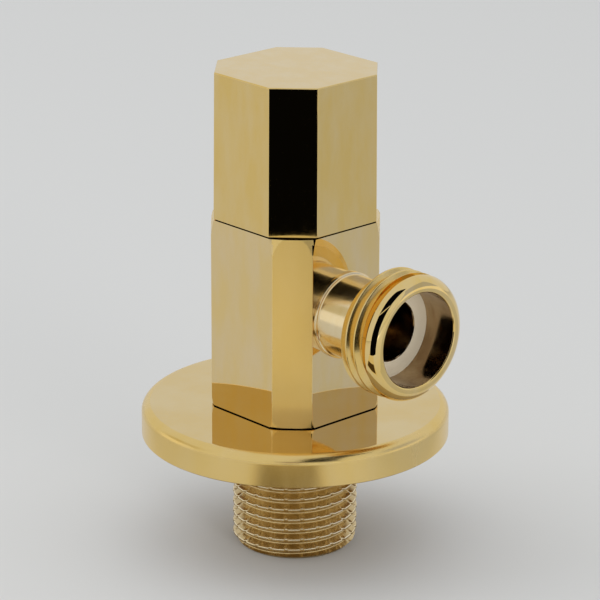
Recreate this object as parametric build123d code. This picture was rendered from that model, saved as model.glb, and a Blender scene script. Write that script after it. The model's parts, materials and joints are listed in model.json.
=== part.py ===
"""Quarter-turn angle stop valve with two G 1/2 threads, a sliding wall escutcheon and a ceramic cartridge.

Millimetres, +Z up. The origin is the centre of the inlet end, the face that the valve stands on.
+Z runs along the inlet and the handle, and the outlet points along +X.
"""

from build123d import *
from build123d.topology import SkipClean
from math import cos, pi, radians, sin, sqrt, tan
import os

# G 1/2 parallel pipe thread, used at the inlet and at the outlet
THREAD_R = 10.4775
THREAD_PITCH = 25.4 / 14
THREAD_DEPTH = 0.6403 * THREAD_PITCH
THREAD_HALF_ANGLE = radians(27.5)
THREAD_ROOT_FLAT = THREAD_PITCH / 6
CREST_SECTORS = 10
SECTOR_SHIFT = 0.37

# How far a cutting shape runs past the face that it cuts
PAST = 1.0

# Body: a square bar with its four edges cut off, on a turned spigot
BODY_HALF = 12.05
BODY_LEG = 4.63
BODY_BOTTOM = 25.05
BODY_TOP = 57.3
CORNER_R = 14.16
BOTTOM_EASE_R = 13.95
BOTTOM_EASE_H = 1.5
TOP_EASE_R = 13.83
TOP_EASE_H = 4.2
SHANK_R = 10.4
RELIEF_R = 9.2
INLET_THREAD_TOP = 17.0
INLET_RELIEF_TOP = 18.5
INLET_CHAMFER = 1.1
SHANK_CHAMFER = 0.5

# Passages inside the body, from the inlet upward
INLET_BORE_R = 6.8
INLET_BORE_TOP = 8.0
STRAINER_SEAT_R = 6.5
STRAINER_SEAT_TOP = 9.0
RISER_R = 6.0
CHAMBER_R = 8.3
CHAMBER_FLOOR = 33.0
CARTRIDGE_THREAD_R = 9.0
CARTRIDGE_THREAD_BOTTOM = 48.5
TOP_RECESS_R = 9.7
TOP_RECESS_BOTTOM = 55.9

# Outlet nipple, along +X from the body's face
OUTLET_Z = 43.05
NECK_R = 6.9
NECK_RING_R = 7.25
NECK_RING_END = 12.65
NECK_RING_EASE = 0.15
TENON_R = 5.9
TENON_START = 9.1
PORT_R = 5.2
WATERWAY_R = 5.0
COLLAR_START = 21.3
COLLAR_FOOT = 0.6
COLLAR_CHAMFER = 0.5
FIRST_GROOVE = 22.9
OUTLET_RELIEF_START = 26.1
NOSE_START = 27.3
NOSE_BACK_EASE = 0.3
NOSE_ROUND = 2.2
OUTLET_END = 29.0
SOCKET_R = 7.85
SOCKET_FLOOR = 22.7
MOUTH_BEVEL = 0.25
SEAL_RECESS_R = 6.8
SEAL_RECESS_DEPTH = 0.85

# Escutcheon and the rubber ring that grips the shank
ESC_R = 25.7
ESC_TOP = 24.87
ESC_BOTTOM = 19.45
ESC_WALL = 0.8
ESC_RIM_ROUND = 1.6
ESC_HOLE_R = 11.2
GRIP_BORE_R = 10.52
GRIP_NECK_R = 11.15
GRIP_FLANGE_R = 13.0
GRIP_BOTTOM = 21.6
GRIP_CHAMFER = 0.4
GRIP_RECESS = 0.15
GRIP_GAP = 0.02

# Strainer pressed into the inlet
STRAINER_RIM_R = 6.45
STRAINER_BOTTOM = 8.1
STRAINER_RIM_TOP = 8.95
STRAINER_FOOT_R = 5.6
STRAINER_CROWN_R = 5.0
STRAINER_TOP = 17.0
STRAINER_SHEET_SIDE = 0.4
STRAINER_SHEET_TOP = 0.5
STRAINER_HOLE_R = 0.65
STRAINER_ROWS = 3
STRAINER_ROW_HOLES = 8
STRAINER_FIRST_ROW = 10.6
STRAINER_ROW_STEP = 2.1
STRAINER_CROWN_HOLES = 6
STRAINER_CROWN_HOLES_AT = 2.8

# Ceramic cartridge
CAGE_R = 8.1
CAGE_BORE_R = 7.35
CAGE_BOTTOM = 33.8
CAGE_CEILING = 46.65
WINDOW_BOTTOM = 38.7
WINDOW_TOP = 44.2
CAGE_WINDOW_ANGLE = 90
CAGE_SLOT_AT = 7.7
CAGE_SLOT = (1.6, 2.4)
CAGE_SLOT_TOP = 38.0
HOUSING_THREAD_R = 8.95
HOUSING_THREAD_BOTTOM = 49.0
HOUSING_THREAD_TOP = 55.2
HOUSING_UNDERCUT = 0.1
HOUSING_UNDERCUT_START = 55.4
HOUSING_FLANGE_R = 10.0
HOUSING_FLANGE_TOP = 58.1
HOUSING_HEX_AF = 17.0
HOUSING_HEX_TOP = 62.0
HOUSING_TOP = 64.0
HOUSING_NOSE_R = 5.8
SPINDLE_R = 4.0
SPINDLE_FIT = 0.05
DISC_R = 7.3
DISC_PORT_INNER_R = 1.6
DISC_PORT_OUTER_R = 5.6
DISC_PORT_ANGLE = 72
DISC_TAB = (2.3, 1.2)
SEAL_BORE_R = 5.8
SUPPORT_BORE_R = 5.15
SUPPORT_END_GAP = 0.2
SEAL_TOP = 35.6
FIXED_DISC_TOP = 38.0
MOVING_DISC_BOTTOM = 38.02
MOVING_DISC_TOP = 40.4
FLANGE_BOTTOM = 44.4
FLANGE_TOP = 46.0
FLANGE_R = 6.4
LUG_INNER_R = 6.2
LUG_OUTER_R = 7.2
LEG_R = 1.2
LEG_FIT = 0.03
LEG_OFFSET = 4.9
LEG_DEPTH = 1.2
O_RING_LEVELS = {"lower": 50.0, "upper": 55.0}
O_RING_WIDTH = 1.5
O_RING_SEAT_R = 3.0
O_RING_END_GAP = 0.05
O_RING_SQUEEZE = 0.03
WASHER_GAP = 0.1

# The 90 degree stop: two lugs on the spindle run between two ribs in the housing
QUARTER_TURN = 90
LUG_ANGLE = 40
RIB_ANGLE = 48
RIB_BORE_R = 6.6
STOP_PLAY = (180 - LUG_ANGLE - RIB_ANGLE - QUARTER_TURN) / 2

# Handle
HANDLE_BOTTOM = 57.55
HANDLE_TOP = 82.2
HANDLE_HALF_BOTTOM = 12.17
HANDLE_HALF_TOP = 11.99
HANDLE_LEG = 5.565
HANDLE_WALL = 1.7
HANDLE_ROOF = 2.4
HANDLE_EDGE_ROUND = 0.45
HUB_R = 8.7
HUB_BOTTOM = 65.6
WEB_WIDTHS = {0: 1.4, 90: 1.4, 180: 6.4, 270: 1.4}
WEB_LENGTH = 4.0
WEB_AT = 9.4
INSERT_R = 6.6
INSERT_BOTTOM = 66.1
INSERT_TOP = 77.5
INSERT_FIT = 0.02
INSERT_END_GAP = 0.3
SPLINE_R = 3.9
SPLINE_DEPTH = 0.35
SPLINE_TEETH = 20
SPLINE_FIT = 0.04
SPLINE_END_GAP = 0.3
SPLINE_BOTTOM = 66.0
SPINDLE_TOP = 76.0
CLIP_BOTTOM = 64.1
CLIP_THICKNESS = 0.8
CLIP_SEAT_R = 3.4
CLIP_OUTER_R = 5.5
CLIP_OPENING = 70
SCREW_Z = 70.5
SCREW_R = 1.95
SCREW_OUTER_X = -11.3
SCREW_TIP_X = -4.05
SCREW_CHAMFER = 0.5
SCREW_KEY_AF = 2.0
SCREW_KEY_DEPTH = 2.0
SCREW_FIT = 0.03
SCREW_HOLE_IN_HANDLE = (-13.5, -4.5)
SCREW_HOLE_IN_INSERT = (-7.0, -3.0)


def turned(*outline):
    """A solid turned about Z from its (radius, height) points."""
    return revolve(Plane.XZ * make_face(Polyline(*outline, close=True)), axis=Axis.Z)


def disc(radius, bottom, top):
    """A round disc or rod on the Z axis between two heights."""
    return Pos(0, 0, bottom) * extrude(Circle(radius), top - bottom)


def ring(inner, outer, bottom, top):
    """A plain ring on the Z axis between two heights."""
    return Pos(0, 0, bottom) * extrude(Circle(outer) - Circle(inner), top - bottom)


def soft_ring(inner, outer, bottom, top):
    """A ring of rounded square section, as a fitted O-ring has."""
    width = outer - inner
    height = top - bottom
    section = RectangleRounded(width, height, 0.4 * min(width, height))
    place = Plane.XZ * Pos(inner + width / 2, bottom + height / 2)
    return revolve(place * section, axis=Axis.Z)


def wedge(inner, outer, centre, width, bottom, top):
    """A slice of a ring, centred on one angle and a given number of degrees wide."""
    steps = [radians(centre + width * (i / 2 - 0.5)) for i in range(3)]
    far = [(outer * cos(a), outer * sin(a)) for a in steps]
    near = [(inner * cos(a), inner * sin(a)) for a in steps]
    outline = ThreePointArc(*far) + Line(far[2], near[2]) + ThreePointArc(*near[::-1]) + Line(near[0], far[0])
    return Pos(0, 0, bottom) * extrude(make_face(outline), top - bottom)


def sector(radius, centre, width, bottom, top):
    """A slice of a round rod, centred on one angle and a given number of degrees wide."""
    steps = [radians(centre + width * (i / 2 - 0.5)) for i in range(3)]
    rim = [(radius * cos(a), radius * sin(a)) for a in steps]
    outline = ThreePointArc(*rim) + Line(rim[2], (0, 0)) + Line((0, 0), rim[0])
    return Pos(0, 0, bottom) * extrude(make_face(outline), top - bottom)


def bar_section(half, leg):
    """The square bar's section with its four corners cut off."""
    k = half - leg
    corners = [(half, -k), (half, k), (k, half), (-k, half), (-half, k), (-half, -k), (-k, -half), (k, -half)]
    return make_face(Polyline(*corners, close=True))


def bar(half, leg, bottom, top):
    """A length of the corner-cut square bar."""
    return Pos(0, 0, bottom) * extrude(bar_section(half, leg), top - bottom)


def spline_section(radius):
    """A serrated shaft's section, with one tooth every 18 degrees."""
    points = []
    for tooth in range(SPLINE_TEETH):
        for r, shift in ((radius, 0), (radius - SPLINE_DEPTH, 0.5)):
            a = 2 * pi * (tooth + shift) / SPLINE_TEETH
            points.append((r * cos(a), r * sin(a)))
    return make_face(Polyline(*points, close=True))


def threaded_rod(start, end, turn):
    """A rod with the helical pipe thread between two heights; the groove starts at one angle about Z."""
    bottom_r = THREAD_R - THREAD_DEPTH
    outside_r = THREAD_R + THREAD_ROOT_FLAT
    root = THREAD_ROOT_FLAT / 2
    mouth = root + (outside_r - bottom_r) * tan(THREAD_HALF_ANGLE)
    outline = Polyline(
        (bottom_r, start - root), (outside_r, start - mouth),
        (outside_r, start + mouth), (bottom_r, start + root), close=True,
    )
    path = Pos(0, 0, start) * Helix(THREAD_PITCH, end - start, bottom_r)
    groove = sweep(Plane.XZ * make_face(outline), path=path, is_frenet=True)
    rod = disc(THREAD_R, start - 2 * THREAD_PITCH, end + 2 * THREAD_PITCH)
    return rod - Rot(0, 0, turn) * groove


def in_sectors(thread, bottom, top):
    """The same thread with its faces parted at equal angles, so that each crest is a row of short plain faces.

    The shift keeps the seams off the plane in which the groove starts.
    """
    width = 360 / CREST_SECTORS
    joined = thread & sector(THREAD_R + PAST, SECTOR_SHIFT * width, width, bottom, top)
    for k in range(1, CREST_SECTORS):
        joined += thread & sector(THREAD_R + PAST, (k + SECTOR_SHIFT) * width, width, bottom, top)
    return joined


def to_outlet(solid):
    """Lay a solid made along Z down on the outlet's axis, pointing along +X."""
    return Pos(0, 0, OUTLET_Z) * Rot(0, 90, 0) * solid


def valve_body():
    """The forged bar body with its threaded inlet spigot, side port and cartridge chamber."""
    arc_start = (CORNER_R, BODY_TOP - TOP_EASE_H)
    arc_middle = (CORNER_R - (CORNER_R - TOP_EASE_R) / 4, BODY_TOP - TOP_EASE_H / 2)
    arc_end = (TOP_EASE_R, BODY_TOP)
    sides = Polyline(
        arc_end, (0, BODY_TOP), (0, BODY_BOTTOM), (BOTTOM_EASE_R, BODY_BOTTOM),
        (CORNER_R, BODY_BOTTOM + BOTTOM_EASE_H), arc_start,
    )
    outline = sides + ThreePointArc(arc_start, arc_middle, arc_end)
    eased = revolve(Plane.XZ * make_face(outline), axis=Axis.Z)
    block = bar(BODY_HALF, BODY_LEG, BODY_BOTTOM, BODY_TOP) & eased
    stub = turned(
        (0, 0), (THREAD_R - INLET_CHAMFER, 0), (THREAD_R + PAST, INLET_CHAMFER + PAST),
        (THREAD_R + PAST, INLET_THREAD_TOP), (0, INLET_THREAD_TOP),
    )
    thread = threaded_rod(-THREAD_PITCH, INLET_THREAD_TOP + THREAD_PITCH, -45)
    shank = turned(
        (0, INLET_THREAD_TOP), (RELIEF_R, INLET_THREAD_TOP), (RELIEF_R, INLET_RELIEF_TOP),
        (SHANK_R, INLET_RELIEF_TOP + SHANK_CHAMFER), (SHANK_R, BODY_BOTTOM + PAST), (0, BODY_BOTTOM + PAST),
    )
    passages = turned(
        (0, -PAST), (INLET_BORE_R, -PAST), (INLET_BORE_R, INLET_BORE_TOP), (STRAINER_SEAT_R, INLET_BORE_TOP),
        (STRAINER_SEAT_R, STRAINER_SEAT_TOP), (RISER_R, STRAINER_SEAT_TOP), (RISER_R, CHAMBER_FLOOR),
        (CHAMBER_R, CHAMBER_FLOOR), (CHAMBER_R, CARTRIDGE_THREAD_BOTTOM),
        (CARTRIDGE_THREAD_R, CARTRIDGE_THREAD_BOTTOM), (CARTRIDGE_THREAD_R, TOP_RECESS_BOTTOM),
        (TOP_RECESS_R, TOP_RECESS_BOTTOM), (TOP_RECESS_R, BODY_TOP + PAST), (0, BODY_TOP + PAST),
    )
    recess_floor = BODY_HALF - SEAL_RECESS_DEPTH
    port = disc(PORT_R, 0, BODY_HALF) + disc(TENON_R, TENON_START, BODY_HALF)
    port += disc(SEAL_RECESS_R, recess_floor, BODY_HALF + PAST)
    sectors_start = INLET_CHAMFER / 2
    spigot = stub & thread
    end = spigot & disc(THREAD_R + PAST, 0, sectors_start)
    spigot = end + in_sectors(spigot, sectors_start, INLET_THREAD_TOP)
    return block + shank + spigot - passages - to_outlet(port)


def outlet_nipple():
    """The turned outlet: tenon, neck, threaded collar and a rounded nose with the hose socket."""
    nose_centre = (THREAD_R - NOSE_ROUND, OUTLET_END - NOSE_ROUND)
    lift = NOSE_START - nose_centre[1]
    nose_top = (nose_centre[0] + sqrt(NOSE_ROUND**2 - lift**2), NOSE_START)
    nose_middle = (nose_centre[0] + NOSE_ROUND * sin(pi / 4), nose_centre[1] + NOSE_ROUND * cos(pi / 4))
    nose_tip = (nose_centre[0], OUTLET_END)
    profile = Polyline(
        nose_tip, (0, OUTLET_END), (0, TENON_START), (TENON_R, TENON_START), (TENON_R, BODY_HALF),
        (NECK_RING_R, BODY_HALF), (NECK_RING_R, NECK_RING_END), (NECK_R, NECK_RING_END + NECK_RING_EASE),
        (NECK_R, COLLAR_START - COLLAR_FOOT), (NECK_R + COLLAR_FOOT, COLLAR_START), (RELIEF_R, COLLAR_START),
        (RELIEF_R, NOSE_START - NOSE_BACK_EASE), nose_top,
    )
    outline = profile + ThreePointArc(nose_top, nose_middle, nose_tip)
    blank = revolve(Plane.XZ * make_face(outline), axis=Axis.Z)
    collar = turned(
        (0, COLLAR_START), (THREAD_R - COLLAR_CHAMFER, COLLAR_START),
        (THREAD_R + PAST, COLLAR_START + COLLAR_CHAMFER + PAST), (THREAD_R + PAST, OUTLET_RELIEF_START),
        (0, OUTLET_RELIEF_START),
    )
    thread = threaded_rod(FIRST_GROOVE - 2 * THREAD_PITCH, OUTLET_END, -90)
    waterway = turned(
        (0, TENON_START - PAST), (WATERWAY_R, TENON_START - PAST), (WATERWAY_R, SOCKET_FLOOR),
        (SOCKET_R, SOCKET_FLOOR), (SOCKET_R, OUTLET_END - MOUTH_BEVEL), (SOCKET_R + MOUTH_BEVEL, OUTLET_END),
        (SOCKET_R + MOUTH_BEVEL, OUTLET_END + PAST), (0, OUTLET_END + PAST),
    )
    threaded_collar = in_sectors(collar & thread, COLLAR_START, OUTLET_RELIEF_START)
    return to_outlet(blank + threaded_collar - waterway)


def escutcheon():
    """The pressed wall flange: flat top, rounded rim and a straight skirt, hollow behind."""
    shell = disc(ESC_R, ESC_BOTTOM, ESC_TOP)
    shell = fillet(shell.edges().group_by(Axis.Z)[-1], ESC_RIM_ROUND)
    inside = disc(ESC_R - ESC_WALL, ESC_BOTTOM, ESC_TOP - ESC_WALL)
    inside = fillet(inside.edges().group_by(Axis.Z)[-1], ESC_RIM_ROUND - ESC_WALL)
    return shell - inside - disc(ESC_HOLE_R, ESC_BOTTOM, ESC_TOP + PAST)


def escutcheon_grip_ring():
    """The rubber ring snapped into the escutcheon's hole, which grips the shank by friction."""
    shoulder = ESC_TOP - ESC_WALL - GRIP_GAP
    top = ESC_TOP - GRIP_RECESS
    return turned(
        (GRIP_BORE_R, GRIP_BOTTOM), (GRIP_FLANGE_R - GRIP_CHAMFER, GRIP_BOTTOM),
        (GRIP_FLANGE_R, GRIP_BOTTOM + GRIP_CHAMFER), (GRIP_FLANGE_R, shoulder), (GRIP_NECK_R, shoulder),
        (GRIP_NECK_R, top), (GRIP_BORE_R, top),
    )


def cartridge_housing():
    """The brass bonnet: cage with two water windows, M18 thread, flange, hexagon and spindle bore."""
    undercut_r = HOUSING_THREAD_R - HOUSING_UNDERCUT
    outer = turned(
        (0, CAGE_BOTTOM), (CAGE_R, CAGE_BOTTOM), (CAGE_R, CARTRIDGE_THREAD_BOTTOM),
        (HOUSING_THREAD_R, HOUSING_THREAD_BOTTOM), (HOUSING_THREAD_R, HOUSING_THREAD_TOP),
        (undercut_r, HOUSING_UNDERCUT_START), (undercut_r, BODY_TOP),
        (HOUSING_FLANGE_R, BODY_TOP), (HOUSING_FLANGE_R, HOUSING_FLANGE_TOP), (0, HOUSING_FLANGE_TOP),
    )
    hexagon = extrude(RegularPolygon(HOUSING_HEX_AF / 2, 6, major_radius=False), HOUSING_HEX_TOP - BODY_TOP)
    hexagon = Pos(0, 0, BODY_TOP) * hexagon
    nose = disc(HOUSING_NOSE_R, BODY_TOP, HOUSING_TOP)
    bore = disc(SPINDLE_R + SPINDLE_FIT, CAGE_BOTTOM, HOUSING_TOP + PAST)
    housing = outer + hexagon + nose - bore - disc(CAGE_BORE_R, CAGE_BOTTOM - PAST, CAGE_CEILING)
    slot_height = CAGE_SLOT_TOP - CAGE_BOTTOM + PAST
    slot = Pos(CAGE_SLOT_AT, 0, CAGE_SLOT_TOP - slot_height / 2) * Box(*CAGE_SLOT, slot_height)
    rib_outer = (CAGE_BORE_R + CAGE_R) / 2
    for side in (0, 180):
        housing -= wedge(CAGE_BORE_R - PAST, CAGE_R + PAST, side, CAGE_WINDOW_ANGLE, WINDOW_BOTTOM, WINDOW_TOP)
        housing += wedge(RIB_BORE_R, rib_outer, side + 90, RIB_ANGLE, WINDOW_TOP, CAGE_CEILING)
        housing -= Rot(0, 0, side + 90) * slot
    return housing


def spindle():
    """The brass spindle: splined end, two O-ring grooves, stop flange and two legs into the moving disc."""
    seats = {}
    for name, level in O_RING_LEVELS.items():
        seats[name] = (level - O_RING_WIDTH / 2, level + O_RING_WIDTH / 2)
    shaft = disc(SPINDLE_R, FLANGE_BOTTOM, SPLINE_BOTTOM)
    shaft += Pos(0, 0, SPLINE_BOTTOM) * extrude(spline_section(SPLINE_R), SPINDLE_TOP - SPLINE_BOTTOM)
    shaft += disc(FLANGE_R, FLANGE_BOTTOM, FLANGE_TOP)
    for side in (0, 180):
        lug_angle = side - 90 + RIB_ANGLE / 2 + STOP_PLAY + LUG_ANGLE / 2
        shaft += wedge(LUG_INNER_R, LUG_OUTER_R, lug_angle, LUG_ANGLE, FLANGE_BOTTOM, FLANGE_TOP)
        leg = disc(LEG_R, MOVING_DISC_TOP - LEG_DEPTH, FLANGE_BOTTOM)
        shaft += Rot(0, 0, side) * Pos(LEG_OFFSET, 0, 0) * leg
    for bottom, top in seats.values():
        shaft -= ring(O_RING_SEAT_R, SPINDLE_R + PAST, bottom, top)
    return shaft - ring(CLIP_SEAT_R, SPINDLE_R + PAST, CLIP_BOTTOM, CLIP_BOTTOM + CLIP_THICKNESS)


def spindle_o_ring(level):
    """One of the two O-rings that seal the spindle in the housing."""
    half = O_RING_WIDTH / 2 - O_RING_END_GAP
    return soft_ring(O_RING_SEAT_R, SPINDLE_R + O_RING_SQUEEZE, level - half, level + half)


def spindle_clip():
    """The open spring clip above the housing, which keeps the spindle from dropping inward."""
    top = CLIP_BOTTOM + CLIP_THICKNESS
    clip = ring(CLIP_SEAT_R, CLIP_OUTER_R, CLIP_BOTTOM, top)
    return clip - wedge(PAST, CLIP_OUTER_R + PAST, 90, CLIP_OPENING, CLIP_BOTTOM - PAST, top + PAST)


def ceramic_disc(bottom, top, angle):
    """A ceramic disc with two opposite fan-shaped ports, centred on one angle."""
    plate = disc(DISC_R, bottom, top)
    for side in (0, 180):
        plate -= wedge(
            DISC_PORT_INNER_R, DISC_PORT_OUTER_R, angle + side, DISC_PORT_ANGLE, bottom - PAST, top + PAST
        )
    return plate


def fixed_disc():
    """The lower ceramic disc, held from turning by two tabs in the cage's slots."""
    plate = ceramic_disc(SEAL_TOP, FIXED_DISC_TOP, 0)
    tab = Box(*DISC_TAB, FIXED_DISC_TOP - SEAL_TOP)
    for side in (-1, 1):
        plate += Pos(0, side * DISC_R, (SEAL_TOP + FIXED_DISC_TOP) / 2) * tab
    return plate


def moving_disc():
    """The upper ceramic disc, which the spindle's two legs turn. Its ports are crossed when closed."""
    plate = ceramic_disc(MOVING_DISC_BOTTOM, MOVING_DISC_TOP, 90)
    leg_hole = disc(LEG_R + LEG_FIT, MOVING_DISC_TOP - LEG_DEPTH, MOVING_DISC_TOP + PAST)
    for side in (-1, 1):
        plate -= Pos(side * LEG_OFFSET, 0, 0) * leg_hole
    return plate


def inlet_strainer():
    """The pressed-in strainer: a rim and a perforated cup that points downstream."""
    crown = STRAINER_TOP - STRAINER_SHEET_TOP
    cup = turned(
        (STRAINER_RIM_R, STRAINER_BOTTOM), (STRAINER_RIM_R, STRAINER_RIM_TOP), (STRAINER_FOOT_R, STRAINER_RIM_TOP),
        (STRAINER_CROWN_R, STRAINER_TOP), (0, STRAINER_TOP), (0, crown),
        (STRAINER_CROWN_R - STRAINER_SHEET_SIDE, crown), (STRAINER_FOOT_R - STRAINER_SHEET_SIDE, STRAINER_BOTTOM),
    )
    side_hole = Rot(0, 90, 0) * disc(STRAINER_HOLE_R, STRAINER_CROWN_R - PAST, STRAINER_FOOT_R + PAST)
    crown_hole = disc(STRAINER_HOLE_R, crown - PAST, STRAINER_TOP + PAST)
    step = 360 / STRAINER_ROW_HOLES
    for row in range(STRAINER_ROWS):
        height = STRAINER_FIRST_ROW + row * STRAINER_ROW_STEP
        for k in range(STRAINER_ROW_HOLES):
            cup -= Pos(0, 0, height) * Rot(0, 0, step * (k + row / 2)) * side_hole
    for k in range(STRAINER_CROWN_HOLES):
        cup -= Rot(0, 0, k * 360 / STRAINER_CROWN_HOLES) * Pos(STRAINER_CROWN_HOLES_AT, 0, 0) * crown_hole
    return cup - crown_hole


def along_screw(solid):
    """Lay a solid made along Z down on the grub screw's axis, pointing along +X."""
    return Pos(0, 0, SCREW_Z) * Rot(0, 90, 0) * solid


def handle_blank(shrink, bottom, top):
    """The handle's drafted bar shape, made smaller all round by one wall thickness."""
    leg = HANDLE_LEG - shrink * (2 - sqrt(2))
    sections = []
    for height in (bottom, top):
        share = (height - HANDLE_BOTTOM) / (HANDLE_TOP - HANDLE_BOTTOM)
        half = HANDLE_HALF_BOTTOM + share * (HANDLE_HALF_TOP - HANDLE_HALF_BOTTOM) - shrink
        sections.append(Pos(0, 0, height) * bar_section(half, leg))
    return loft(sections)


def handle_shell():
    """The die-cast handle cover: hollow, with a hub and four webs hanging from its roof."""
    outer = handle_blank(0, HANDLE_BOTTOM, HANDLE_TOP)
    upright = [e for e in outer.edges() if e.bounding_box().size.Z > HANDLE_LEG]
    outer = fillet(upright + outer.edges().group_by(Axis.Z)[-1], HANDLE_EDGE_ROUND)
    ceiling = HANDLE_TOP - HANDLE_ROOF
    cavity = handle_blank(HANDLE_WALL, HANDLE_BOTTOM - PAST, ceiling)
    hub = disc(HUB_R, HUB_BOTTOM, ceiling)
    for angle, width in WEB_WIDTHS.items():
        web = Box(WEB_LENGTH, width, ceiling - HUB_BOTTOM)
        hub += Rot(0, 0, angle) * Pos(WEB_AT, 0, (HUB_BOTTOM + ceiling) / 2) * web
    shell = outer - (cavity - hub) - disc(INSERT_R, HUB_BOTTOM - PAST, INSERT_TOP + INSERT_END_GAP)
    return shell - along_screw(disc(SCREW_R + SCREW_FIT, *SCREW_HOLE_IN_HANDLE))


def handle_insert():
    """The plastic splined bush pressed into the handle's hub."""
    bush = disc(INSERT_R - INSERT_FIT, INSERT_BOTTOM, INSERT_TOP)
    depth = SPINDLE_TOP + SPLINE_END_GAP - INSERT_BOTTOM + PAST
    socket = Pos(0, 0, INSERT_BOTTOM - PAST) * extrude(spline_section(SPLINE_R + SPLINE_FIT), depth)
    return bush - socket - along_screw(disc(SCREW_R + 2 * SCREW_FIT, *SCREW_HOLE_IN_INSERT))


def handle_grub_screw():
    """The M4 grub screw in the back of the handle, with a 2 mm hexagon socket."""
    screw = disc(SCREW_R, SCREW_OUTER_X, SCREW_TIP_X)
    screw = chamfer(screw.edges().group_by(Axis.Z)[-1], SCREW_CHAMFER)
    key = extrude(RegularPolygon(SCREW_KEY_AF / 2, 6, major_radius=False), SCREW_KEY_DEPTH)
    return along_screw(screw - Pos(0, 0, SCREW_OUTER_X) * key)


def build_parts():
    """Every separate piece of the valve by its name."""
    with SkipClean():
        threaded = {"valve_body": valve_body(), "outlet_nipple": outlet_nipple()}
    parts = {
        **threaded,
        "outlet_nipple_seal": to_outlet(
            soft_ring(TENON_R, SEAL_RECESS_R, BODY_HALF - SEAL_RECESS_DEPTH, BODY_HALF)
        ),
        "inlet_strainer": inlet_strainer(),
        "escutcheon": escutcheon(),
        "escutcheon_grip_ring": escutcheon_grip_ring(),
        "seat_seal": ring(SEAL_BORE_R, DISC_R, CHAMBER_FLOOR, SEAL_TOP),
        "seal_support_ring": ring(
            SUPPORT_BORE_R, SEAL_BORE_R, CHAMBER_FLOOR + SUPPORT_END_GAP, SEAL_TOP - SUPPORT_END_GAP
        ),
        "fixed_disc": fixed_disc(),
        "moving_disc": moving_disc(),
        "cartridge_housing": cartridge_housing(),
        "cartridge_o_ring": soft_ring(
            HOUSING_THREAD_R - HOUSING_UNDERCUT, TOP_RECESS_R, TOP_RECESS_BOTTOM, BODY_TOP - O_RING_END_GAP
        ),
        "spindle": spindle(),
        "spindle_friction_washer": ring(
            SPINDLE_R + WASHER_GAP, RIB_BORE_R - WASHER_GAP, FLANGE_TOP, CAGE_CEILING - WASHER_GAP / 5
        ),
        "spindle_clip": spindle_clip(),
        "handle_shell": handle_shell(),
        "handle_insert": handle_insert(),
        "handle_grub_screw": handle_grub_screw(),
    }
    for name, level in O_RING_LEVELS.items():
        parts["spindle_o_ring_" + name] = spindle_o_ring(level)
    return parts


os.makedirs("parts", exist_ok=True)
for node, solid in build_parts().items():
    export_step(solid, "parts/" + node + ".step")
    print(node, round(solid.volume, 1), "mm3")
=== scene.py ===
# %% [markdown]
# # A polished gold angle stop valve
#
# An angle stop valve shuts the water off under a basin. This lesson dresses its CAD frame for a
# picture: the gold shell is modelled again with rounded edges, real threads and a polished finish,
# and the inner works, which only show when the valve is taken apart, keep their CAD shape.
#
# Everything is in metres, in the CAD's own frame: +Z runs up the inlet and the handle, and the
# outlet points along +X.

# %% Load the frame
import json
from math import atan2, cos, degrees, pi, radians, sin, sqrt, tan

import bmesh
import bpy
from mathutils import Matrix, Vector

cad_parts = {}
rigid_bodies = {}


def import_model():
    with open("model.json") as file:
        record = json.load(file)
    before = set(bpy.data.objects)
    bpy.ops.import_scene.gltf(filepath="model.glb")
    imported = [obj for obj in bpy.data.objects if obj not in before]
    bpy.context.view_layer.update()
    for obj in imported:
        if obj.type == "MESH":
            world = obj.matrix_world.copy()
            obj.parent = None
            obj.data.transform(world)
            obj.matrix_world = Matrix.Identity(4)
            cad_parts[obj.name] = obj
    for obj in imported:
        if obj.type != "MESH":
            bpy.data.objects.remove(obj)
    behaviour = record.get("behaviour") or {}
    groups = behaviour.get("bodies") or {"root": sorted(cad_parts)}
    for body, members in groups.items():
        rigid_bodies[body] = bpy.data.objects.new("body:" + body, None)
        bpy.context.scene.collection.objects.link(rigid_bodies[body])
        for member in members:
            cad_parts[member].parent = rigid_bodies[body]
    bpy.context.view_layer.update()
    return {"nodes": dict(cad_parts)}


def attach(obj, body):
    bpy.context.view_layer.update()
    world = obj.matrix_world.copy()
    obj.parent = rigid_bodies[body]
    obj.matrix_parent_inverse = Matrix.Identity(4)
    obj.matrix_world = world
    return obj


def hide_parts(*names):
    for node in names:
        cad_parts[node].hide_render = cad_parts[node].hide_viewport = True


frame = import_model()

MM = 0.001
print("CAD nodes:", len(frame["nodes"]))

# %% [markdown]
# ## The camera
#
# A long lens from far away keeps the valve's upright edges nearly parallel, as catalogue pictures
# do. The camera is placed by how far it is turned round the valve, how high it stands, and how far
# away it is. A small roll about its own axis levels the escutcheon.

# %% Camera
VIEW_TURN = radians(47.07)
VIEW_RISE = radians(19.06)
VIEW_ROLL = radians(0.235)
VIEW_DISTANCE = 505.95 * MM
AIM_HEIGHT = 42.48 * MM
AIM_SIDE = 0.73 * MM
LENS = 183.4
SENSOR_WIDTH = 36

to_camera = Vector((sin(VIEW_TURN) * cos(VIEW_RISE), -cos(VIEW_TURN) * cos(VIEW_RISE), sin(VIEW_RISE)))
to_right = Vector((cos(VIEW_TURN), sin(VIEW_TURN), 0))
to_top = to_camera.cross(to_right)

camera = bpy.data.objects.new("camera", bpy.data.cameras.new("camera"))
bpy.context.scene.collection.objects.link(camera)
camera.data.lens = LENS
camera.data.sensor_width = SENSOR_WIDTH
camera.data.clip_start = 10 * MM
facing = Matrix((to_right, to_top, to_camera)).transposed() @ Matrix.Rotation(VIEW_ROLL, 3, "Z")
camera.matrix_world = Matrix.Translation(
    to_right * AIM_SIDE + Vector((0, 0, AIM_HEIGHT)) + to_camera * VIEW_DISTANCE
) @ facing.to_4x4()
bpy.context.scene.camera = camera
print("camera at", [round(x / MM, 1) for x in camera.matrix_world.translation], "mm")

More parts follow.
